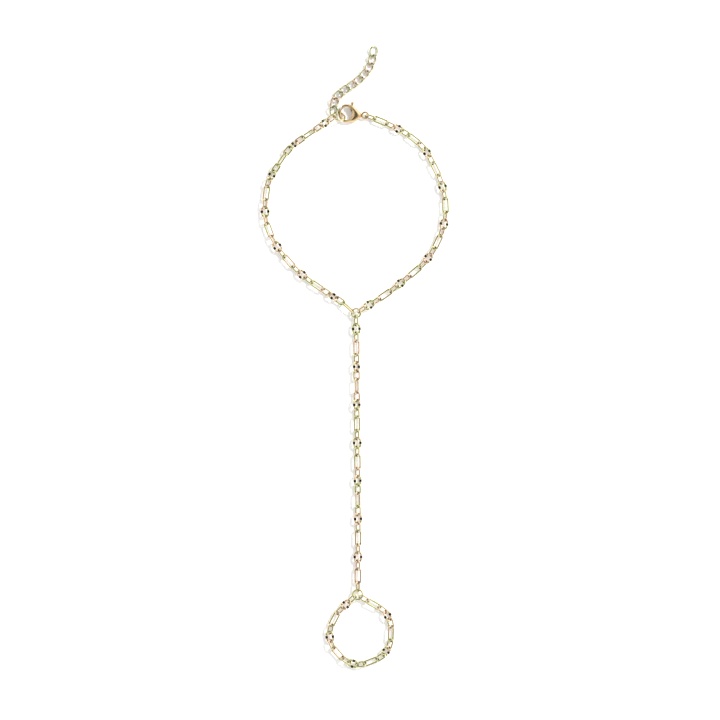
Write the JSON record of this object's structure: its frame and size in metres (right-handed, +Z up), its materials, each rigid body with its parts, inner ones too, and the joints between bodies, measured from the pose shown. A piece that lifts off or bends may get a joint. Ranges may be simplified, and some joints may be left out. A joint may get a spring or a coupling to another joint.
{
  "type": "hand chain",
  "caption": "Flat-lying hand chain: a wrist chain with a lobster clasp and curb extender, a strand down the back of the hand, and a finger loop.",
  "frame": {"origin": "on the surface that the chain lies on, under the middle of its outline", "axes": "+Y along the chain from the finger loop to the extender, +X to the right seen from above, +Z up off the surface"},
  "size_m": [0.0546, 0.1808, 0.0033],
  "materials": {
    "gold_chain": "polished pale gold plating",
    "gold_clasp": "polished warm gold plating"
  },
  "bodies": {
    "hand_chain_body": {"wrist_chain_left": "gold_chain", "wrist_chain_right": "gold_chain", "hand_chain": "gold_chain", "finger_chain": "gold_chain", "extender_chain": "gold_chain", "clasp_body": "gold_clasp", "clasp_rivet": "gold_clasp", "clasp_ring": "gold_chain", "wrist_ring": "gold_chain", "finger_ring": "gold_chain"},
    "lever": {"clasp_lever": "gold_clasp"}
  },
  "joints": [
    {"name": "lever_hinge", "type": "hinge", "parent": "hand_chain_body", "child": "lever", "pos_m": [-0.00051, 0.07178, 0.0011], "axis": [0, 0, 1], "range_deg": [0, 20], "stiffness_Nm_per_rad": 0.005}
  ]
}
